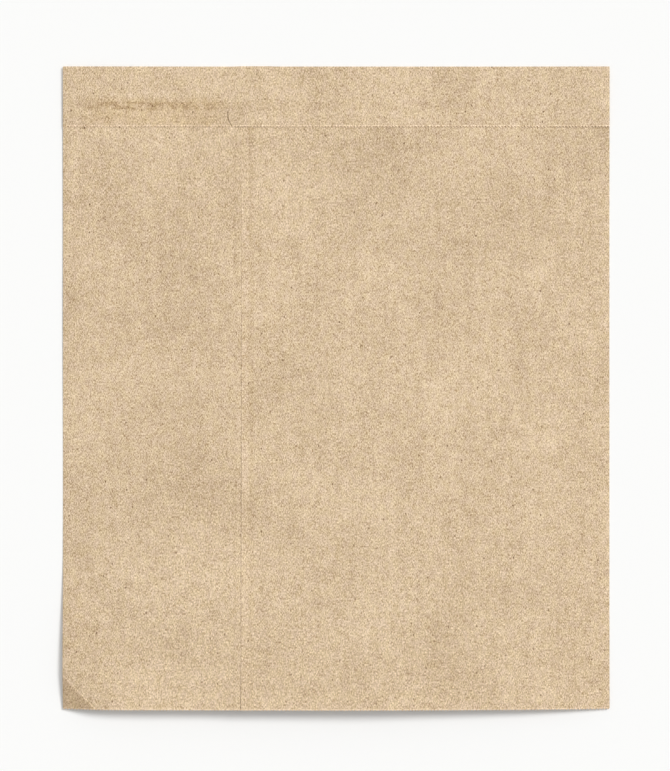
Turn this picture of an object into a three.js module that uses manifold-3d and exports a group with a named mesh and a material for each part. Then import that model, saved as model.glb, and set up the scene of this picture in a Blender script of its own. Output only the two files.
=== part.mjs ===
// A flat kraft paper bag, empty, lying with its glued seam and its bottom flap facing up.
// It is one rectangle of paper. Its two long edges are brought round and glued in a lengthwise overlap, which
// makes a flat tube, and the bottom end of the tube is folded over once and glued down. Both ends were cut
// by a toothed knife, so the mouth and the edge of the flap are pinked. The mouth gapes a little.
// Millimetres. X runs across the bag, Y from the mouth to the folded bottom, Z up from the surface it lies on.
import * as THREE from 'three';
import Module from 'manifold-3d';

// Size of the flat bag
const bagWidth = 255;
const bagLength = 300;

// Paper and glue
const paperThickness = 0.08;
const glueThickness = 0.04;
const paperColour = 0xd4be9d;
const paperRoughness = 0.85;

// Clear air between the two plies along the side folds
const sideFoldGap = 0.12;

// Lengthwise seam: its visible edge is measured from the left fold, its narrow line of glue runs behind that
// edge, and the upper layer sinks to the lower one over the drape
const seamFromLeft = 83.4;
const seamOverlap = 12;
const seamGlueInset = 3.4;
const seamGlueWidth = 2;
const seamGlueEndInset = 8;
const seamDrape = 5;

// Bottom flap, measured from the fold. Its glue line lies behind a free margin, whose edge lifts a little.
const flapDepth = 28.5;
const flapFreeMargin = 7.5;
const flapGlueWidth = 6;
const flapGlueEndInset = 6;
const flapLiftLength = 5.5;
const flapEdgeLift = 0.5;

// Pinked edges
const toothPitch = 1.5;
const toothDepth = 0.7;

// Gape of the mouth: its height at the middle of the bag, and how it dies away to the side folds and to a
// line in front of the flap
const mouthGape = 8;
const crownPower = 2.2;
const gapePower = 2;
const gapeEndFromFlap = 6;

// Facets
const foldSteps = 4;
const facetSpacing = 28;
const pinkingStrip = 3;
const tangentStep = 0.001;
const leastFacet = 0.05;

// Heights of the middle of the paper, and radii of the folds along it
const plySpacing = paperThickness + sideFoldGap;
const layerStep = paperThickness + glueThickness;
const lowerPlyHeight = paperThickness / 2;
const upperPlyHeight = lowerPlyHeight + plySpacing;
const sideFoldRadius = plySpacing / 2;
const flapFoldRadius = layerStep / 2;

// Places across the bag
const halfWidth = bagWidth / 2;
const foldCentreX = halfWidth - paperThickness / 2 - sideFoldRadius;
const seamEdgeX = seamFromLeft - halfWidth;
const seamUnderEdgeX = seamEdgeX + seamOverlap;

// Distances across the flat sheet, from the visible edge of the seam, at which each run of it starts
const sideFoldArc = Math.PI * sideFoldRadius;
const rightFoldStart = foldCentreX - seamEdgeX;
const lowerPlyStart = rightFoldStart + sideFoldArc;
const leftFoldStart = lowerPlyStart + 2 * foldCentreX;
const leftPanelStart = leftFoldStart + sideFoldArc;
const seamUnderStart = leftPanelStart + foldCentreX + seamEdgeX;

// Distances along the flat sheet, from the mouth. The bottom fold is thickest at the seam.
const mouthY = -bagLength / 2;
const bottomFoldReach = flapFoldRadius + plySpacing + layerStep + paperThickness / 2;
const tubeLength = bagLength - bottomFoldReach;
const bottomFoldArc = Math.PI * (flapFoldRadius + plySpacing / 2);
const flapStart = tubeLength + bottomFoldArc;
const sheetLength = flapStart + flapDepth - bottomFoldReach;
const gapeEnd = bagLength - flapDepth - gapeEndFromFlap;

// How much of one layer's step the seam adds to what is laid over it, from 0 to 1
function seamRise(x) {
  return THREE.MathUtils.smoothstep(x, seamEdgeX - seamDrape, seamEdgeX);
}

function seamFall(x) {
  return 1 - THREE.MathUtils.smoothstep(x, seamUnderEdgeX, seamUnderEdgeX + seamDrape);
}

// Middle of the paper across the flat tube, before any gape: its place, its height and whether it is in the
// upper ply
function tubeSection(across) {
  const foldHeight = lowerPlyHeight + sideFoldRadius;
  if (across <= rightFoldStart) {
    const x = seamEdgeX + across;
    return { x, height: upperPlyHeight + layerStep * seamFall(x), upper: true };
  }
  if (across < lowerPlyStart) {
    const angle = (across - rightFoldStart) / sideFoldRadius;
    const x = foldCentreX + sideFoldRadius * Math.sin(angle);
    return { x, height: foldHeight + sideFoldRadius * Math.cos(angle), upper: false };
  }
  if (across <= leftFoldStart) {
    return { x: foldCentreX - (across - lowerPlyStart), height: lowerPlyHeight, upper: false };
  }
  if (across < leftPanelStart) {
    const angle = (across - leftFoldStart) / sideFoldRadius;
    const x = -foldCentreX - sideFoldRadius * Math.sin(angle);
    return { x, height: foldHeight - sideFoldRadius * Math.cos(angle), upper: false };
  }
  return { x: across - leftPanelStart - foldCentreX, height: upperPlyHeight, upper: true };
}

// Height that the gaping mouth lifts the upper ply
function gapeAt(x, along) {
  const crown = 1 - Math.abs(x / foldCentreX) ** crownPower;
  const reach = 1 - along / gapeEnd;
  return mouthGape * Math.max(0, crown) * Math.max(0, reach) ** gapePower;
}

// Height that the free margin of the flap lifts, for a distance back from the fold's centre
function flapLiftAt(back) {
  const edge = sheetLength - flapStart;
  return flapEdgeLift * THREE.MathUtils.smoothstep(back, edge - flapLiftLength, edge);
}

// Middle of the folded paper, for a place across and along the flat sheet
function foldedPoint(across, along) {
  const { x, height, upper } = tubeSection(across);
  const axisHeight = upperPlyHeight + flapFoldRadius + layerStep * seamRise(x) * seamFall(x);
  const radius = axisHeight - height;
  const turn = Math.PI * THREE.MathUtils.clamp((along - tubeLength) / bottomFoldArc, 0, 1);
  const back = Math.max(0, along - flapStart);
  const y = mouthY + Math.min(along, tubeLength) + radius * Math.sin(turn) - back;
  const lift = (upper ? gapeAt(x, along) : 0) + flapLiftAt(back);
  return new THREE.Vector3(x, y, axisHeight - radius * Math.cos(turn) + lift);
}

// Direction that the outer side of the paper faces, at a place on the flat sheet
function outward(across, along) {
  const acrossEnd = foldedPoint(across + tangentStep, along);
  const alongEnd = foldedPoint(across, along + tangentStep);
  const acrossWay = acrossEnd.sub(foldedPoint(across - tangentStep, along));
  const alongWay = alongEnd.sub(foldedPoint(across, along - tangentStep));
  return acrossWay.cross(alongWay).normalize();
}

// Surface at a distance out from the middle of the paper
function paperSurface(offset) {
  return (across, along) => foldedPoint(across, along).addScaledVector(outward(across, along), offset);
}

// Evenly spread values from start to end, no further apart than the facets
function spread(start, end, steps = Math.ceil((end - start) / facetSpacing)) {
  return Array.from({ length: steps + 1 }, (_, step) => start + (end - start) * step / steps);
}

// Values in order, without repeats
function ordered(values) {
  return [...new Set(values)].sort((first, second) => first - second);
}

// Places across the sheet at which its facets meet
const seamPlaces = [0, seamOverlap / 2, seamOverlap];
const rightPanelColumns = [
  ...seamPlaces,
  seamOverlap + seamDrape / 2,
  ...spread(seamOverlap + seamDrape, rightFoldStart - flapGlueEndInset),
];
const leftPanelColumns = [
  ...spread(leftPanelStart + flapGlueEndInset, seamUnderStart - seamDrape),
  seamUnderStart - seamDrape / 2,
  ...seamPlaces.map((place) => seamUnderStart + place),
];
const lowerPlyColumns = [
  ...spread(-foldCentreX, seamEdgeX - seamDrape),
  seamEdgeX - seamDrape / 2,
  seamEdgeX,
  seamUnderEdgeX,
  seamUnderEdgeX + seamDrape / 2,
  ...spread(seamUnderEdgeX + seamDrape, foldCentreX),
].map((x) => lowerPlyStart + foldCentreX - x);
const columns = ordered([
  ...rightPanelColumns,
  ...spread(rightFoldStart, lowerPlyStart, foldSteps),
  ...lowerPlyColumns.slice(1, -1),
  ...spread(leftFoldStart, leftPanelStart, foldSteps),
  ...leftPanelColumns,
]);

// Places along the sheet at which its facets meet, between the two pinked strips
const rows = ordered([
  ...spread(pinkingStrip, gapeEnd),
  ...spread(tubeLength, flapStart, foldSteps),
  sheetLength - flapLiftLength,
  sheetLength - pinkingStrip,
]);

// Depth of the cut made by the toothed knife, which went through both plies at once
function toothCut(x) {
  const phase = x / toothPitch - Math.floor(x / toothPitch);
  return toothDepth * Math.abs(1 - 2 * phase);
}

// A row of points along one pinked edge, with a point at each tip and root and at each column
function pinkedRow(edgeAlong) {
  const halfPitch = toothPitch / 2;
  const tips = [];
  for (let x = Math.ceil(-foldCentreX / halfPitch) * halfPitch; x < foldCentreX; x += halfPitch) {
    tips.push(lowerPlyStart + foldCentreX - x);
    if (x > seamEdgeX) tips.push(x - seamEdgeX);
    if (x < seamUnderEdgeX) tips.push(leftPanelStart + foldCentreX + x);
  }
  const clearOfColumn = (tip) => columns.every((column) => Math.abs(column - tip) > leastFacet);
  return ordered([...columns, ...tips.filter(clearOfColumn)])
    .map((across) => [across, edgeAlong + toothCut(tubeSection(across).x)]);
}

// Triangles between two rows of points whose distances across are given, in counter-clockwise order
function stitch(near, far, across, triangles) {
  let i = 0;
  let j = 0;
  while (i < near.length - 1 || j < far.length - 1) {
    const nearStep = i < near.length - 1 ? Math.abs(across[near[i + 1]] - across[far[j]]) : Infinity;
    const farStep = j < far.length - 1 ? Math.abs(across[far[j + 1]] - across[near[i]]) : Infinity;
    if (nearStep <= farStep) {
      triangles.push([near[i], near[i + 1], far[j]]);
      i += 1;
    } else {
      triangles.push([near[i], far[j + 1], far[j]]);
      j += 1;
    }
  }
}

// A piece of the flat sheet, made of rows of points: its points, its triangles and its edge, in order
function sheetPatch(pointRows) {
  const points = pointRows.flat();
  const across = points.map((point) => point[0]);
  let count = 0;
  const indexRows = pointRows.map((row) => row.map(() => count++));
  const triangles = [];
  for (let row = 1; row < indexRows.length; row += 1) {
    stitch(indexRows[row - 1], indexRows[row], across, triangles);
  }
  const innerRows = indexRows.slice(1, -1);
  const edge = [
    ...indexRows[0],
    ...innerRows.map((row) => row.at(-1)),
    ...indexRows.at(-1).toReversed(),
    ...innerRows.map((row) => row[0]).toReversed(),
  ];
  return { points, triangles, edge };
}

function rectangularPatch(patchColumns, patchRows) {
  return sheetPatch(patchRows.map((along) => patchColumns.map((across) => [across, along])));
}

// Closed mesh between two surfaces over the same piece of the sheet
function solidBetween({ points, triangles, edge }, inner, outer) {
  const count = points.length;
  const corners = [inner, outer].flatMap((surface) => points.map((point) => surface(...point).toArray()));
  const faces = triangles.flatMap(([a, b, c]) => [[a, c, b], [a + count, b + count, c + count]]);
  edge.forEach((start, index) => {
    const end = edge[(index + 1) % edge.length];
    faces.push([start, end, end + count], [start, end + count, start + count]);
  });
  return { vertProperties: new Float32Array(corners.flat()), triVerts: new Uint32Array(faces.flat()) };
}

// The paper, pinked at both ends
function paperSheet() {
  const patch = sheetPatch([
    pinkedRow(0),
    ...rows.map((along) => columns.map((across) => [across, along])),
    pinkedRow(sheetLength - toothDepth),
  ]);
  return solidBetween(patch, paperSurface(-paperThickness / 2), paperSurface(paperThickness / 2));
}

// Glue between the two layers of the seam, from the middle of one to the middle of the other
function seamGlue() {
  return solidBetween(
    rectangularPatch(
      [seamGlueInset, seamGlueInset + seamGlueWidth],
      spread(seamGlueEndInset, tubeLength - seamGlueEndInset),
    ),
    (across, along) => foldedPoint(across + seamUnderStart, along),
    foldedPoint,
  );
}

// Glue between the upper ply and the flap, over a stretch of one panel
function flapGlue(first, last) {
  const glueEnd = flapDepth - flapFreeMargin - bottomFoldReach;
  return solidBetween(
    rectangularPatch(
      [first, ...columns.filter((across) => across > first && across < last), last],
      [tubeLength - glueEnd, tubeLength - glueEnd + flapGlueWidth],
    ),
    foldedPoint,
    (across, along) => foldedPoint(across, flapStart + tubeLength - along),
  );
}

const wasm = await Module();
wasm.setup();

const meshes = [
  paperSheet(),
  seamGlue(),
  flapGlue(seamGlueInset, rightFoldStart - flapGlueEndInset),
  flapGlue(leftPanelStart + flapGlueEndInset, seamUnderStart - seamDrape / 2),
];
const joined = meshes
  .map((mesh) => new wasm.Manifold(new wasm.Mesh({ numProp: 3, ...mesh })))
  .reduce((bag, piece) => bag.add(piece))
  .getMesh();

const geometry = new THREE.BufferGeometry();
geometry.setAttribute('position', new THREE.BufferAttribute(joined.vertProperties, joined.numProp));
geometry.setIndex(new THREE.BufferAttribute(joined.triVerts, 1));
geometry.computeVertexNormals();

const paper = new THREE.MeshStandardMaterial({
  color: paperColour,
  roughness: paperRoughness,
  metalness: 0,
  flatShading: true,
});
const paperBag = new THREE.Mesh(geometry, paper);
paperBag.name = 'paper_bag';

const bag = new THREE.Group();
bag.add(paperBag);

export default bag;
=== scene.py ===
# A flat kraft paper bag, lying with its glued seam and its bottom flap facing up, seen from straight above.
# The paper is one fine mesh, folded from the flat sheet by the same rule as the solid that it replaces, with
# the cockles, curling edges, marks and grain of real paper. Metres.
import math

import bpy
import numpy as np
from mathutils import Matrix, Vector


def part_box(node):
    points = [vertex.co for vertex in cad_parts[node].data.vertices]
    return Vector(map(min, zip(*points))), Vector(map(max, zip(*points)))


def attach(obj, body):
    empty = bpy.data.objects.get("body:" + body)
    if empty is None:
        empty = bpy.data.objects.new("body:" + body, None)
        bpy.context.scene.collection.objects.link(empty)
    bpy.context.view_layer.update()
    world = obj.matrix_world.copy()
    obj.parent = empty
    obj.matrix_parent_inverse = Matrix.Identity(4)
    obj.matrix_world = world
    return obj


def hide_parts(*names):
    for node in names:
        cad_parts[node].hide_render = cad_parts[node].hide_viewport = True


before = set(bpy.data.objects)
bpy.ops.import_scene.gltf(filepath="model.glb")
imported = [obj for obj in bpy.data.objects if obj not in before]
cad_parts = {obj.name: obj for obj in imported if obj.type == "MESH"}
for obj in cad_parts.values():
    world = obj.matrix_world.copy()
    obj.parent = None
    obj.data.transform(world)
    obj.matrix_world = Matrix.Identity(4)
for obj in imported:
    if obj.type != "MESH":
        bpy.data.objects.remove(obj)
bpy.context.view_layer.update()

MM = 0.001

# Size of the flat bag, from the frame
low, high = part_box("paper_bag")
bag_width = high[0] - low[0]
bag_length = high[1] - low[1]

# Paper and its folds
paper_thickness = 0.08 * MM
ply_spacing = 0.2 * MM
layer_step = 0.12 * MM
side_fold_radius = ply_spacing / 2
flap_fold_radius = layer_step / 2
lower_ply_height = paper_thickness / 2
upper_ply_height = lower_ply_height + ply_spacing

# Seam, flap and pinked edges
seam_from_left = 83.4 * MM
seam_overlap = 12 * MM
seam_glue_inset = 3.4 * MM
seam_glue_width = 2 * MM
seam_drape = 5 * MM
flap_depth = 28.5 * MM
tooth_pitch = 1.5 * MM
tooth_depth = 0.7 * MM

# Gape of the mouth. The slack paper over it rises unevenly, in waves with smaller ripples on them, and is
# smoother towards the mouth.
mouth_gape = 8 * MM
crown_power = 2.2
gape_power = 2
gape_end_from_flap = 6 * MM
slack_wave = 0.75 * MM
slack_wave_length = 95 * MM
slack_ripple = 0.45
slack_ripple_length = 42 * MM
slack_rise = 1.3
slack_full = 0.35
slack_smoothing = 0.75

# Cockles along the seam's glue, and the curl of its free edge, which is full near the mouth
seam_cockle = 0.10 * MM
seam_cockle_reach = 9 * MM
seam_cockle_length = 13 * MM
seam_cockle_stretch = 0.3
seam_cockle_fade = 20 * MM
seam_edge_curl = 0.34 * MM
seam_curl_start = 230 * MM
seam_curl_full = 60 * MM
seam_curl_loss = 0.8
seam_curl_length = 24 * MM
seam_curl_uneven = 0.25

# Lift of the flap's free margin, uneven in waves and ripples, and greater towards the right
flap_edge_lift = 0.02 * MM
flap_right_lift = 0.12 * MM
flap_right_start = 0.5
flap_right_full = 0.95
flap_lift_length = 6.5 * MM
flap_lift_mean = 0.85
flap_lift_least = 0.12
flap_wave = 0.55
flap_wave_length = 46 * MM
flap_ripple = 0.2
flap_ripple_length = 17 * MM

# Gentle waves of the whole bag, and the rise of its corners, from a share of its half size outwards
sheet_wave = 0.35 * MM
sheet_wave_length = 120 * MM
sheet_wave_rise = 0.35
corner_rise = 0.9 * MM
corner_rise_start = 1.05
corner_rise_full = 1.42
corner_rise_uneven = 0.3
corner_wave_length = 200 * MM

# Bent corner, at the left of the mouth: its crease crosses both edges at the leg from the tip
corner_crease_leg = 16 * MM
corner_crease_slope = 0.2
corner_crease_width = 1.2 * MM
corner_ridge_reach = 42 * MM
# Width and softness of the crease's painted highlight, and softness of the edge of the bent corner's painted
# shade
crease_line_width = 0.5 * MM
crease_line_soft = 0.4 * MM
bent_corner_soft = 1 * MM

# Stain of the flap's glue, measured back from the fold. It wanders along the flap and is strong at its left
# end, where a damp patch lies behind it.
stain_start = 17.1 * MM
stain_end = 19.9 * MM
stain_soft = 0.8 * MM
stain_wander = 2.0 * MM
stain_left_x = -110 * MM
stain_strong_right_x = -61 * MM
stain_strong_soft = 12 * MM
stain_strong_share = 0.75
stain_right_x = 66 * MM
stain_weak_soft = 14 * MM
damp_end = 27 * MM
damp_soft = 2.5 * MM

# Dark hair in the paper of the flap, measured back from the fold
hair_x = -50.2 * MM
hair_start = 21.6 * MM
hair_end = 28.1 * MM
hair_width = 0.24 * MM
hair_soft = 0.12 * MM
hair_end_soft = 1.5 * MM
hair_lean = 0.3
hair_curve = 60.0

# Marks along the seam: its lip, paler where its fibres are cut and with a painted highlight, a painted
# highlight on the curled strip up to the glue, the glue line, and a line rubbed into the left panel beside
# the edge. They end at the bottom fold.
lip_start = 0.2 * MM
lip_end = 0.5 * MM
curl_strip_highlight_soft = 0.8 * MM
glue_line_soft = 0.5 * MM
rub_line_offset = 3 * MM
rub_line_width = 0.8 * MM
rub_line_soft = 0.6 * MM
seam_marks_fade = 1 * MM

# Paler fibres of the two cut ends, with a painted highlight on them
cut_edge_start = 0.75 * MM
cut_edge_end = 1.15 * MM

# Colours of the paper and of the floor, and what each mark multiplies the paper's colour by
dark_paper = (0.350, 0.235, 0.127)
pale_paper = (0.940, 0.758, 0.527)
warm_tint = (1.0, 1.0, 0.96)
cool_tint = (1.0, 0.99, 1.04)
speck_tint = (0.38, 0.31, 0.25)
fibre_tint = (0.68, 0.60, 0.51)
damp_tint = (0.965, 0.945, 0.895)
stain_wash_tint = (0.885, 0.85, 0.785)
stain_spot_tint = (0.57, 0.49, 0.41)
hair_tint = (0.30, 0.25, 0.20)
# The crease's tint is a painted highlight along its ridge; the bent corner's tint is painted shade on the
# face turned from the light.
crease_highlight_tint = (1.17, 1.17, 1.18)
bent_corner_shade_tint = (0.86, 0.83, 0.79)
glue_line_tint = (0.968, 0.958, 0.94)
# Painted highlight on the curled free strip of the seam, up to the glue
curl_strip_highlight_tint = (1.03, 1.03, 1.035)
rub_line_tint = (0.96, 0.955, 0.945)
# The seam's lip: paler cut fibres, with a painted highlight on them
lip_pale_and_highlight_tint = (1.09, 1.09, 1.10)
# Paler cut fibres at both ends of the sheet, with a painted highlight on them
cut_edge_pale_and_highlight_tint = (1.25, 1.26, 1.30)
floor_colour = (0.92, 0.92, 0.91)

# Step of the noise between the outer and the inner side of the paper
side_step = 0.013

# Strength of the even fill light
fill_strength = 0.42

# Mesh spacing
column_spacing = 2.4 * MM
fine_spacing = 0.8 * MM
row_spacing = 2.6 * MM
side_fold_steps = 6
bottom_fold_steps = 8
pinking_strip = 1.6 * MM
least_spacing = 0.03 * MM
tangent_step = 0.01 * MM
rounding_error = 1e-9
sharp_angle = math.radians(50)

# Places across the bag, and distances across the flat sheet from the visible edge of the seam
half_width = bag_width / 2
fold_centre_x = half_width - paper_thickness / 2 - side_fold_radius
seam_edge_x = seam_from_left - half_width
seam_under_edge_x = seam_edge_x + seam_overlap
side_fold_arc = math.pi * side_fold_radius
right_fold_start = fold_centre_x - seam_edge_x
lower_ply_start = right_fold_start + side_fold_arc
lower_ply_middle = lower_ply_start + fold_centre_x
left_fold_start = lower_ply_start + 2 * fold_centre_x
left_panel_start = left_fold_start + side_fold_arc
seam_under_start = left_panel_start + fold_centre_x + seam_edge_x
sheet_width = seam_under_start + seam_overlap

# Place of the mouth, and distances along the flat sheet from it
mouth_y = -bag_length / 2
bottom_fold_reach = flap_fold_radius + ply_spacing + layer_step + paper_thickness / 2
tube_length = bag_length - bottom_fold_reach
bottom_fold_arc = math.pi * (flap_fold_radius + ply_spacing / 2)
flap_start = tube_length + bottom_fold_arc
flap_fold_edge = flap_start - bottom_fold_reach
sheet_length = flap_start + flap_depth - bottom_fold_reach
gape_end = bag_length - flap_depth - gape_end_from_flap


def ease(value, start, end):
    """Smooth rise from 0 at start to 1 at end."""
    part = np.clip((value - start) / (end - start), 0, 1)
    return part * part * (3 - 2 * part)


def waves(x, y, length, seed):
    """Smooth seeded noise from about -1 to 1, whose waves run every way and are about one length long."""
    count = 9
    shortest, longest = 0.7, 1.5
    usual_peak = 1.4
    random = np.random.default_rng(seed)
    total = np.zeros(np.broadcast(x, y).shape)
    for _ in range(count):
        way, phase = random.uniform(0, 2 * math.pi, 2)
        turns = 2 * math.pi / (length * random.uniform(shortest, longest))
        total += np.sin(turns * (x * math.cos(way) + y * math.sin(way)) + phase)
    return total / count ** 0.5 / usual_peak


def seam_rise(x):
    """Rise of the paper folded over the seam, from the left panel to the overlap, as a share of a layer."""
    return ease(x, seam_edge_x - seam_drape, seam_edge_x)


def seam_fall(x):
    """Share of that rise that is left where the paper sinks beyond the overlap's hidden edge."""
    return 1 - ease(x, seam_under_edge_x, seam_under_edge_x + seam_drape)


def tube_section(across):
    """Middle of the paper across the flat tube: x, height, and 1 on the upper ply or 0 elsewhere."""
    fold_height = lower_ply_height + side_fold_radius
    right_angle = (across - right_fold_start) / side_fold_radius
    left_angle = (across - left_fold_start) / side_fold_radius
    right_x = seam_edge_x + across
    runs = [
        across <= right_fold_start,
        across < lower_ply_start,
        across <= left_fold_start,
        across < left_panel_start,
    ]
    x = np.select(runs, [
        right_x,
        fold_centre_x + side_fold_radius * np.sin(right_angle),
        fold_centre_x - (across - lower_ply_start),
        -fold_centre_x - side_fold_radius * np.sin(left_angle),
    ], across - left_panel_start - fold_centre_x)
    height = np.select(runs, [
        upper_ply_height + layer_step * seam_fall(right_x),
        fold_height + side_fold_radius * np.cos(right_angle),
        np.full_like(across, lower_ply_height),
        fold_height - side_fold_radius * np.cos(left_angle),
    ], upper_ply_height)
    upper = (runs[0] | ~(runs[0] | runs[1] | runs[2] | runs[3])).astype(float)
    return x, height, upper


def gape(x, along):
    """Height that the gaping mouth lifts the upper ply, with the slack paper's own unevenness."""
    crown = np.maximum(0, 1 - np.abs(x / fold_centre_x) ** crown_power)
    reach = np.maximum(0, 1 - along / gape_end)
    even = mouth_gape * crown * reach ** gape_power
    slack = ease(crown * reach, 0.0, slack_full)
    ripples = slack_ripple * waves(x, along, slack_ripple_length, seed=12)
    uneven = waves(x, along, slack_wave_length, seed=11) + ripples
    return even + slack_wave * slack * (uneven + slack_rise) * (1 - slack_smoothing * reach)


def seam_relief(x, along, top_layer):
    """Cockles along the glued seam, and the free edge of its top layer curling up."""
    rise = ease(x, seam_edge_x - seam_cockle_reach, seam_edge_x)
    near = rise * (1 - ease(x, seam_under_edge_x, seam_under_edge_x + seam_cockle_reach))
    in_tube = 1 - ease(along, gape_end - seam_cockle_fade, gape_end)
    folds = 1 + waves(x * seam_cockle_stretch, along, seam_cockle_length, seed=21)
    cockle = seam_cockle * near * in_tube * folds
    edge = 1 - ease(x, seam_edge_x, seam_edge_x + seam_glue_inset)
    growth = 1 - seam_curl_loss * ease(along, seam_curl_full, seam_curl_start)
    uneven = 1 - seam_curl_uneven + seam_curl_uneven * waves(0 * x, along, seam_curl_length, seed=22)
    curl = seam_edge_curl * edge * growth * uneven
    return cockle + curl * top_layer * (1 - ease(along, gape_end, gape_end + gape_end_from_flap))


def corner_bend(x, y):
    """Rise of the paper to the bent corner's crease, and its fall from there to nothing at the tip."""
    inside = (corner_crease_leg - (x + half_width) - (y - mouth_y)) / math.sqrt(2)
    fall = (inside + np.sqrt(inside ** 2 + corner_crease_width ** 2)) / 2
    tip_distance = corner_crease_leg / math.sqrt(2) + corner_crease_width
    ridge = tip_distance * (1 - ease(-inside, 0, corner_ridge_reach))
    return corner_crease_slope * (ridge - fall)


def sheet_lift(x, y):
    """Gentle waves of the whole bag, the slight rise of its four corners, and the bend of one of them."""
    wave = sheet_wave * np.maximum(0, sheet_wave_rise + waves(x, y, sheet_wave_length, seed=31))
    corner = ease(np.hypot(x / half_width, y / (bag_length / 2)), corner_rise_start, corner_rise_full)
    uneven = 1 - corner_rise_uneven + corner_rise_uneven * waves(x, y, corner_wave_length, seed=32)
    return wave + corner_rise * corner * uneven + corner_bend(x, y)


def flap_lift(x, back):
    """Lift of the flap's free margin, uneven along it."""
    edge = sheet_length - flap_start
    wave = flap_wave * waves(x, 0 * x, flap_wave_length, seed=41)
    ripple = flap_ripple * waves(x, 0 * x, flap_ripple_length, seed=42)
    uneven = np.maximum(flap_lift_least, flap_lift_mean + wave + ripple)
    right = ease(x, flap_right_start * half_width, flap_right_full * half_width)
    most = flap_edge_lift + flap_right_lift * right
    return most * ease(back, edge - flap_lift_length, edge) * uneven


def folded(across, along):
    """Middle of the folded paper, for places across and along the flat sheet."""
    x, height, upper = tube_section(across)
    axis_height = upper_ply_height + flap_fold_radius + layer_step * seam_rise(x) * seam_fall(x)
    radius = axis_height - height
    turn = math.pi * np.clip((along - tube_length) / bottom_fold_arc, 0, 1)
    back = np.maximum(0, along - flap_start)
    y = mouth_y + np.minimum(along, tube_length) + radius * np.sin(turn) - back
    top_layer = (across < right_fold_start).astype(float)
    upper_lift = gape(x, along) + seam_relief(x, along, top_layer)
    lift = upper * upper_lift + flap_lift(x, back) + sheet_lift(x, y)
    return np.stack([x, y, axis_height - radius * np.cos(turn) + lift], axis=-1)


def outward(across, along):
    """Direction that the outer side of the paper faces."""
    across_way = folded(across + tangent_step, along) - folded(across - tangent_step, along)
    along_way = folded(across, along + tangent_step) - folded(across, along - tangent_step)
    normal = np.cross(across_way, along_way)
    return normal / np.linalg.norm(normal, axis=-1, keepdims=True)


def spread(start, end, spacing):
    """Evenly spread values from start to end, no further apart than spacing."""
    return np.linspace(start, end, max(1, math.ceil((end - start) / spacing - rounding_error)) + 1)


def ordered(*stretches):
    """All the values in order, without those that nearly repeat."""
    values = np.sort(np.concatenate(stretches))
    return values[np.concatenate([[True], np.diff(values) > rounding_error])]


def sheet_columns():
    """Places across the sheet: fine at the seam, at its mark on the flap and round the side folds."""
    seam_start = seam_edge_x - seam_drape
    seam_end = seam_under_edge_x + seam_drape
    return ordered(
        spread(0, seam_overlap + seam_drape, fine_spacing),
        spread(seam_overlap + seam_drape, right_fold_start, column_spacing),
        np.linspace(right_fold_start, lower_ply_start, side_fold_steps + 1),
        spread(lower_ply_start, lower_ply_middle - seam_end, column_spacing),
        spread(lower_ply_middle - seam_end, lower_ply_middle - seam_start, fine_spacing),
        spread(lower_ply_middle - seam_start, left_fold_start, column_spacing),
        np.linspace(left_fold_start, left_panel_start, side_fold_steps + 1),
        spread(left_panel_start, seam_under_start - seam_drape, column_spacing),
        spread(seam_under_start - seam_drape, sheet_width, fine_spacing),
    )


def sheet_rows():
    """Places along the sheet between its two pinked strips."""
    return ordered(
        spread(pinking_strip, tube_length, row_spacing),
        np.linspace(tube_length, flap_start, bottom_fold_steps + 1),
        spread(flap_start, sheet_length - pinking_strip, row_spacing / 2),
    )


def tooth_cut(x):
    """Depth of the toothed knife's cut, which went through both plies at once."""
    return tooth_depth * np.abs(1 - 2 * (x / tooth_pitch - np.floor(x / tooth_pitch)))


def pinked_row(columns, edge_along):
    """Points along one pinked edge: every tip and root, and every column."""
    half_pitch = tooth_pitch / 2
    tips_x = np.arange(math.ceil(-fold_centre_x / half_pitch), fold_centre_x / half_pitch) * half_pitch
    tips = np.concatenate([
        lower_ply_middle - tips_x,
        tips_x[tips_x > seam_edge_x] - seam_edge_x,
        left_panel_start + fold_centre_x + tips_x[tips_x < seam_under_edge_x],
    ])
    clear = np.abs(tips[:, None] - columns[None, :]).min(axis=1) > least_spacing
    across = ordered(columns, tips[clear])
    return np.stack([across, edge_along + tooth_cut(tube_section(across)[0])], axis=-1)


def stitch(near, far, across):
    """Triangles between two rows of points, taken across in step."""
    faces = []
    near_last, far_last = len(near) - 1, len(far) - 1
    near_at, far_at = 0, 0
    while near_at < near_last or far_at < far_last:
        near_step, far_step = math.inf, math.inf
        if near_at < near_last:
            near_step = abs(across[near[near_at + 1]] - across[far[far_at]])
        if far_at < far_last:
            far_step = abs(across[far[far_at + 1]] - across[near[near_at]])
        if near_step <= far_step:
            faces.append((near[near_at], near[near_at + 1], far[far_at]))
            near_at += 1
        else:
            faces.append((near[near_at], far[far_at + 1], far[far_at]))
            far_at += 1
    return faces


def sheet_patch():
    """Points of the flat sheet, its faces, and its edge in order."""
    columns = sheet_columns()
    inner = [np.stack([columns, np.full_like(columns, along)], axis=-1) for along in sheet_rows()]
    point_rows = [pinked_row(columns, 0), *inner, pinked_row(columns, sheet_length - tooth_depth)]
    starts = np.cumsum([0] + [len(row) for row in point_rows])
    rows = [np.arange(start, end) for start, end in zip(starts[:-1], starts[1:])]
    points = np.concatenate(point_rows)
    faces = stitch(rows[0], rows[1], points[:, 0]) + stitch(rows[-2], rows[-1], points[:, 0])
    for near, far in zip(rows[1:-2], rows[2:-1]):
        faces += list(zip(near[:-1], near[1:], far[1:], far[:-1]))
    edge = np.concatenate([
        rows[0],
        [row[-1] for row in rows[1:-1]],
        rows[-1][::-1],
        [row[0] for row in rows[-2:0:-1]],
    ])
    return points, faces, edge


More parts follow.
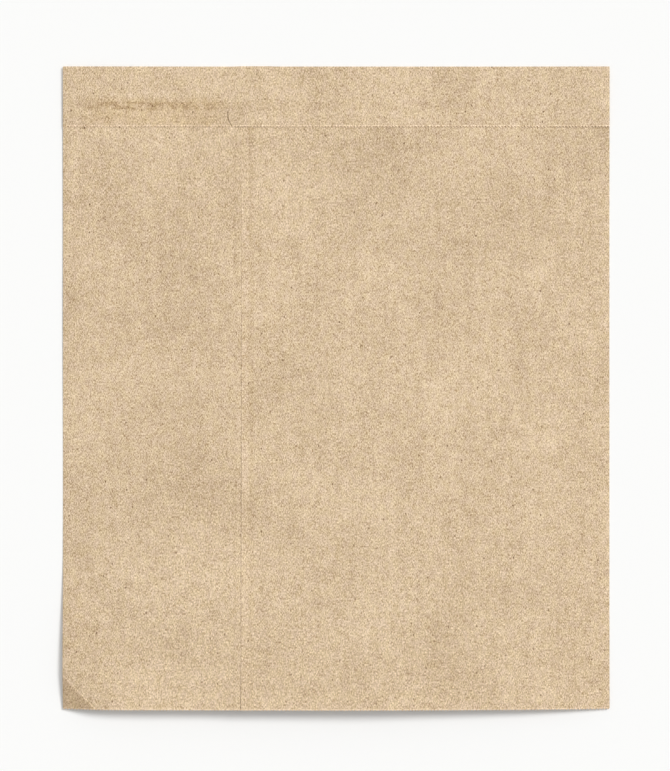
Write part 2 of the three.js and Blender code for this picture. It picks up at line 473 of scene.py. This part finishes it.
def make_paper(name):
    """The folded paper as one closed mesh, which also holds each point's place on the flat sheet."""
    points, faces, edge = sheet_patch()
    count = len(points)
    middle = folded(points[:, 0], points[:, 1])
    half = outward(points[:, 0], points[:, 1]) * paper_thickness / 2
    corners = np.concatenate([middle - half, middle + half])
    all_faces = [face[::-1] for face in faces]
    all_faces += [tuple(corner + count for corner in face) for face in faces]
    for start, end in zip(edge, np.roll(edge, -1)):
        all_faces.append((start, end, end + count, start + count))
    mesh = bpy.data.meshes.new(name)
    mesh.from_pydata(corners.tolist(), [], [tuple(int(corner) for corner in face) for face in all_faces])
    place = mesh.attributes.new("sheet_place", "FLOAT_VECTOR", "POINT")
    side = np.repeat([0.0, 1.0], count)
    values = np.column_stack([np.tile(points, (2, 1)), side])
    place.data.foreach_set("vector", values.astype(np.float32).ravel())
    mesh.shade_smooth()
    mesh.set_sharp_from_angle(angle=sharp_angle)
    paper = bpy.data.objects.new(name, mesh)
    bpy.context.scene.collection.objects.link(paper)
    return paper


def add_node(tree, kind, inputs=None, **settings):
    """A new node, with its settings and with each input given a value or another node's output."""
    node = tree.nodes.new(kind)
    for name, value in settings.items():
        setattr(node, name, value)
    for name, value in (inputs or {}).items():
        if isinstance(value, bpy.types.NodeSocket):
            tree.links.new(value, node.inputs[name])
        else:
            node.inputs[name].default_value = value
    return node


def calculate(tree, operation, *values):
    """Result of a sum on numbers or on other nodes' outputs."""
    inputs = {place: value for place, value in enumerate(values)}
    return add_node(tree, "ShaderNodeMath", inputs, operation=operation).outputs[0]


def multiply_vector(tree, first, second):
    """Product of two vectors or colours, part by part."""
    inputs = {0: first, 1: second}
    return add_node(tree, "ShaderNodeVectorMath", inputs, operation="MULTIPLY").outputs[0]


def stretched(tree, place, across, along):
    """The place on the flat sheet, scaled across and along it, so that noise there is drawn out."""
    return multiply_vector(tree, place, (across, along, side_step))


def noise(tree, vector, scale, detail, roughness):
    """Noise from 0 to 1 in the flat sheet's coordinates."""
    inputs = {"Vector": vector, "Scale": scale, "Detail": detail, "Roughness": roughness}
    return add_node(tree, "ShaderNodeTexNoise", inputs).outputs["Fac"]


def ramp(tree, value, start, end, low_value=0.0, high_value=1.0):
    """Smooth change from low_value to high_value as value goes from start to end."""
    inputs = {"Value": value, "From Min": start, "From Max": end, "To Min": low_value, "To Max": high_value}
    return add_node(tree, "ShaderNodeMapRange", inputs, interpolation_type="SMOOTHSTEP").outputs["Result"]


def band(tree, value, start, end, soft):
    """1 between start and end, falling to 0 over soft outside them."""
    rise = ramp(tree, value, start - soft, start)
    fall = ramp(tree, value, end, end + soft, 1.0, 0.0)
    return calculate(tree, "MULTIPLY", rise, fall)


def mix_colour(tree, factor, first, second):
    """The first colour where the factor is 0, the second where it is 1."""
    factor_place, first_place, second_place, result_place = 0, 6, 7, 2
    inputs = {factor_place: factor, first_place: (*first, 1.0), second_place: (*second, 1.0)}
    return add_node(tree, "ShaderNodeMix", inputs, data_type="RGBA").outputs[result_place]


def mixed_noise(tree, layers):
    """Weighted sum of noises, centred on a half."""
    total = 0.5 - sum(weight for _, weight in layers) / 2
    for layer, weight in layers:
        total = calculate(tree, "MULTIPLY_ADD", layer, weight, total)
    return total


def tinted(tree, colour, mask, tint, tint_outside=(1.0, 1.0, 1.0)):
    """The colour times the tint inside the mask, and times the other tint outside it."""
    return multiply_vector(tree, colour, mix_colour(tree, mask, tint_outside, tint))


def sheet_coordinates(tree, place):
    """Distances across and along the flat sheet."""
    apart = add_node(tree, "ShaderNodeSeparateXYZ", {"Vector": place})
    return apart.outputs["X"], apart.outputs["Y"]


def specks(tree, place):
    """Small dark specks, in some of the cells of a net."""
    radius = 0.105
    core, rim = 0.6, 1.3
    rarity = 0.66
    vector = stretched(tree, place, across=1.0, along=0.7)
    cells = add_node(tree, "ShaderNodeTexVoronoi", {"Vector": vector, "Scale": 300.0, "Randomness": 1.0})
    chance = add_node(tree, "ShaderNodeSeparateXYZ", {"Vector": cells.outputs["Color"]}).outputs["X"]
    spot = ramp(tree, cells.outputs["Distance"], radius * core, radius * rim, 1.0, 0.0)
    return calculate(tree, "MULTIPLY", spot, calculate(tree, "GREATER_THAN", chance, rarity))


def dark_fibres(tree, place):
    """Short dark fibres, drawn out along the bag."""
    vector = stretched(tree, place, across=1.0, along=0.40)
    fibres = noise(tree, vector, scale=2500.0, detail=1.0, roughness=0.5)
    return ramp(tree, fibres, start=0.605, end=0.685)


def stain_marks(tree, place, across, along):
    """The brown glue stain on the flap: the damp patch behind it, its wash, and the spots in it."""
    drawn_out = stretched(tree, place, across=1.0, along=0.2)
    wander = noise(tree, drawn_out, scale=90.0, detail=3.0, roughness=0.6)
    shifted = calculate(tree, "MULTIPLY_ADD", wander, stain_wander, along)
    middle_start = flap_fold_edge + stain_start + stain_wander / 2
    middle_end = flap_fold_edge + stain_end + stain_wander / 2
    stain_along = band(tree, shifted, middle_start, middle_end, stain_soft)

    left_end = lower_ply_middle - stain_left_x
    weak = band(tree, across, lower_ply_middle - stain_right_x, left_end, stain_weak_soft)
    strong = band(tree, across, lower_ply_middle - stain_strong_right_x, left_end, stain_strong_soft)
    weak_part = calculate(tree, "MULTIPLY", weak, 1 - stain_strong_share)
    stain_across = calculate(tree, "MULTIPLY_ADD", strong, stain_strong_share, weak_part)
    stain = calculate(tree, "MULTIPLY", stain_along, stain_across)

    squeezed = stretched(tree, place, across=0.7, along=1.0)
    fine = noise(tree, squeezed, scale=2100.0, detail=1.0, roughness=0.5)
    coarse = noise(tree, place, scale=220.0, detail=3.0, roughness=0.6)
    wash = calculate(tree, "MULTIPLY", stain, ramp(tree, coarse, start=0.38, end=0.62))
    spots = calculate(tree, "MULTIPLY", wash, ramp(tree, fine, start=0.48, end=0.60))
    damp_along = band(tree, shifted, flap_fold_edge + stain_start, flap_fold_edge + damp_end, damp_soft)
    damp = calculate(tree, "MULTIPLY", damp_along, strong)
    return (damp, damp_tint), (wash, stain_wash_tint), (spots, stain_spot_tint)


def hair_mark(tree, across, along):
    """The dark hair in the flap, leaning and a little curved."""
    start = flap_fold_edge + hair_start
    end = flap_fold_edge + hair_end
    from_middle = calculate(tree, "SUBTRACT", along, flap_fold_edge + (hair_start + hair_end) / 2)
    lean = calculate(tree, "MULTIPLY_ADD", from_middle, hair_curve, hair_lean)
    straightened = calculate(tree, "MULTIPLY_ADD", from_middle, lean, across)
    middle = lower_ply_middle - hair_x
    in_width = band(tree, straightened, middle - hair_width / 2, middle + hair_width / 2, hair_soft)
    in_length = band(tree, along, start, end, hair_end_soft)
    return calculate(tree, "MULTIPLY", in_width, in_length), hair_tint


def corner_highlight_and_shade(tree, across, along):
    """Painted highlight along the bent corner's crease, and painted shade on the corner beyond it, which is
    turned away from the light.
    """
    left_fold_middle = left_fold_start + side_fold_arc / 2
    from_fold = calculate(tree, "ABSOLUTE", calculate(tree, "SUBTRACT", across, left_fold_middle))
    from_tip = calculate(tree, "ADD", from_fold, along)
    line_end = corner_crease_leg + crease_line_width
    # Painted highlight along the crease's ridge
    crease = band(tree, from_tip, corner_crease_leg, line_end, crease_line_soft)
    # Painted shade on the bent corner beyond the crease
    bent_corner_shade = ramp(tree, from_tip, corner_crease_leg - bent_corner_soft, corner_crease_leg, 1.0, 0.0)
    return (crease, crease_highlight_tint), (bent_corner_shade, bent_corner_shade_tint)


def seam_marks(tree, across, along):
    """Marks along the seam, on both of its layers, as far as the bottom fold: the lip's pale cut with a
    painted highlight, a painted highlight on the curled strip up to the glue, the glue line and the rubbed
    line.
    """
    in_tube = ramp(tree, along, tube_length - seam_marks_fade, tube_length, 1.0, 0.0)
    glue_line = band(tree, across, seam_glue_inset, seam_glue_inset + seam_glue_width, glue_line_soft)
    # Painted highlight on the curled strip up to the glue
    curl_strip_highlight = ramp(tree, across, seam_glue_inset - curl_strip_highlight_soft, seam_glue_inset, 1.0, 0.0)
    rub_middle = seam_under_start - rub_line_offset
    rub_start = rub_middle - rub_line_width / 2
    rub_line = band(tree, across, rub_start, rub_middle + rub_line_width / 2, rub_line_soft)
    # The lip: paler cut fibres, with a painted highlight
    lip = ramp(tree, across, lip_start, lip_end, 1.0, 0.0)
    marks = (
        (glue_line, glue_line_tint),
        (curl_strip_highlight, curl_strip_highlight_tint),
        (rub_line, rub_line_tint),
        (lip, lip_pale_and_highlight_tint),
    )
    return [(calculate(tree, "MULTIPLY", mask, in_tube), tint) for mask, tint in marks]


def cut_edge_pale_and_highlight(tree, along):
    """The paler cut at both ends of the sheet, with a painted highlight on it."""
    from_end = calculate(tree, "MINIMUM", along, calculate(tree, "SUBTRACT", sheet_length, along))
    # Paler cut fibres, with a painted highlight
    return ramp(tree, from_end, cut_edge_start, cut_edge_end, 1.0, 0.0), cut_edge_pale_and_highlight_tint


def paper_marks(tree, place):
    """Every mark's mask, with the tint that it multiplies the paper's colour by."""
    across, along = sheet_coordinates(tree, place)
    return (
        (specks(tree, place), speck_tint),
        (dark_fibres(tree, place), fibre_tint),
        *stain_marks(tree, place, across, along),
        hair_mark(tree, across, along),
        *corner_highlight_and_shade(tree, across, along),
        *seam_marks(tree, across, along),
        cut_edge_pale_and_highlight(tree, along),
    )


def paper_grain(tree, place):
    """Tone and height of the bare paper. Its grain and streaks run along the bag."""
    grain_place = stretched(tree, place, across=1.0, along=0.27)
    streak_place = stretched(tree, place, across=1.0, along=0.06)
    fine_grain = noise(tree, grain_place, scale=4600.0, detail=0.0, roughness=0.5)
    grain = noise(tree, grain_place, scale=1250.0, detail=3.0, roughness=0.65)
    streaks = noise(tree, streak_place, scale=420.0, detail=3.0, roughness=0.6)
    mottle = noise(tree, place, scale=150.0, detail=4.0, roughness=0.6)
    clouds = noise(tree, place, scale=24.0, detail=3.0, roughness=0.5)
    tone_layers = ((fine_grain, 1.75), (grain, 0.35), (streaks, 0.24), (mottle, 0.42), (clouds, 0.4))
    height_layers = ((fine_grain, 0.5), (grain, 1.0), (mottle, 1.6))
    return mixed_noise(tree, tone_layers), mixed_noise(tree, height_layers)


def kraft_paper():
    """Matt unbleached kraft paper, whose grain and marks follow the flat sheet round its folds."""
    material = bpy.data.materials.new("kraft_paper")
    material.use_nodes = True
    tree = material.node_tree
    shader = tree.nodes["Principled BSDF"]
    place = add_node(tree, "ShaderNodeAttribute", attribute_name="sheet_place").outputs["Vector"]
    tone, height = paper_grain(tree, place)
    hue_place = stretched(tree, place, across=1.0, along=0.7)
    hue = noise(tree, hue_place, scale=300.0, detail=2.0, roughness=0.6)
    colour = mix_colour(tree, tone, dark_paper, pale_paper)
    cool = ramp(tree, hue, start=0.3, end=0.7)
    colour = tinted(tree, colour, cool, cool_tint, tint_outside=warm_tint)
    for mask, tint in paper_marks(tree, place):
        colour = tinted(tree, colour, mask, tint)
    tree.links.new(colour, shader.inputs["Base Color"])
    shader.inputs["Roughness"].default_value = 0.8
    shader.inputs["Specular IOR Level"].default_value = 0.25
    bump = add_node(tree, "ShaderNodeBump", {"Height": height, "Strength": 0.6, "Distance": 0.05 * MM})
    tree.links.new(bump.outputs["Normal"], shader.inputs["Normal"])
    return material


def make_floor():
    """Plain pale floor, just under the bag."""
    reach = 4.0
    height = -0.05 * MM
    ways = ((-1, -1), (1, -1), (1, 1), (-1, 1))
    corners = [(x * reach, y * reach, height) for x, y in ways]
    mesh = bpy.data.meshes.new("floor")
    mesh.from_pydata(corners, [], [(0, 1, 2, 3)])
    floor = bpy.data.objects.new("floor", mesh)
    bpy.context.scene.collection.objects.link(floor)
    material = bpy.data.materials.new("pale_floor")
    material.use_nodes = True
    shader = material.node_tree.nodes["Principled BSDF"]
    shader.inputs["Base Color"].default_value = (*floor_colour, 1.0)
    shader.inputs["Roughness"].default_value = 0.9
    shader.inputs["Specular IOR Level"].default_value = 0.1
    mesh.materials.append(material)


def add_sun(name, direction, strength, width):
    """Even light from one direction, softened by its angular width."""
    light = bpy.data.lights.new(name, "SUN")
    light.energy = strength
    light.angle = width
    lamp = bpy.data.objects.new(name, light)
    lamp.location = direction
    lamp.rotation_euler = (-lamp.location).to_track_quat("-Z", "Y").to_euler()
    bpy.context.scene.collection.objects.link(lamp)


def studio_world():
    """Even white fill light, which the camera sees as a white background."""
    world = bpy.data.worlds.new("studio")
    world.use_nodes = True
    tree = world.node_tree
    rays = add_node(tree, "ShaderNodeLightPath")
    seen = calculate(tree, "MAXIMUM", rays.outputs["Is Camera Ray"], rays.outputs["Is Glossy Ray"])
    seen = calculate(tree, "MAXIMUM", seen, rays.outputs["Is Transmission Ray"])
    strength = calculate(tree, "MULTIPLY_ADD", seen, 1.0 - fill_strength, fill_strength)
    background = tree.nodes["Background"]
    background.inputs["Color"].default_value = (1.0, 1.0, 1.0, 1.0)
    tree.links.new(strength, background.inputs["Strength"])
    return world


def set_stage():
    """Floor, soft light from the right and from above, even fill, and colours shown as they are."""
    make_floor()
    add_sun("key_light", direction=(0.70, 0.55, 0.95), strength=1.75, width=math.radians(20))
    add_sun("top_light", direction=(0.1, 0.3, 1.0), strength=0.75, width=math.radians(60))
    bpy.context.scene.world = studio_world()
    bpy.context.scene.view_settings.view_transform = "Standard"


def add_camera():
    """Straight above the bag, framed as in the photograph."""
    image_width, image_height = 670, 771
    left_px, right_px, fold_px, mouth_px = 60.5, 612.0, 69.5, 706.0
    camera_height = 1.3
    px_per_metre = ((right_px - left_px) / bag_width + (mouth_px - fold_px) / bag_length) / 2
    camera = bpy.data.cameras.new("camera")
    camera.sensor_fit = "HORIZONTAL"
    camera.lens = px_per_metre * camera_height * camera.sensor_width / image_width
    camera.clip_end = 20.0
    view = bpy.data.objects.new("camera", camera)
    view.location = (
        (image_width / 2 - (left_px + right_px) / 2) / px_per_metre,
        ((fold_px + mouth_px) / 2 - image_height / 2) / px_per_metre,
        camera_height,
    )
    bpy.context.scene.collection.objects.link(view)
    bpy.context.scene.camera = view


add_camera()
set_stage()

paper_sheet = make_paper("kraft_sheet")
paper_sheet.data.materials.append(kraft_paper())
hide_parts("paper_bag")
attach(paper_sheet, "root")
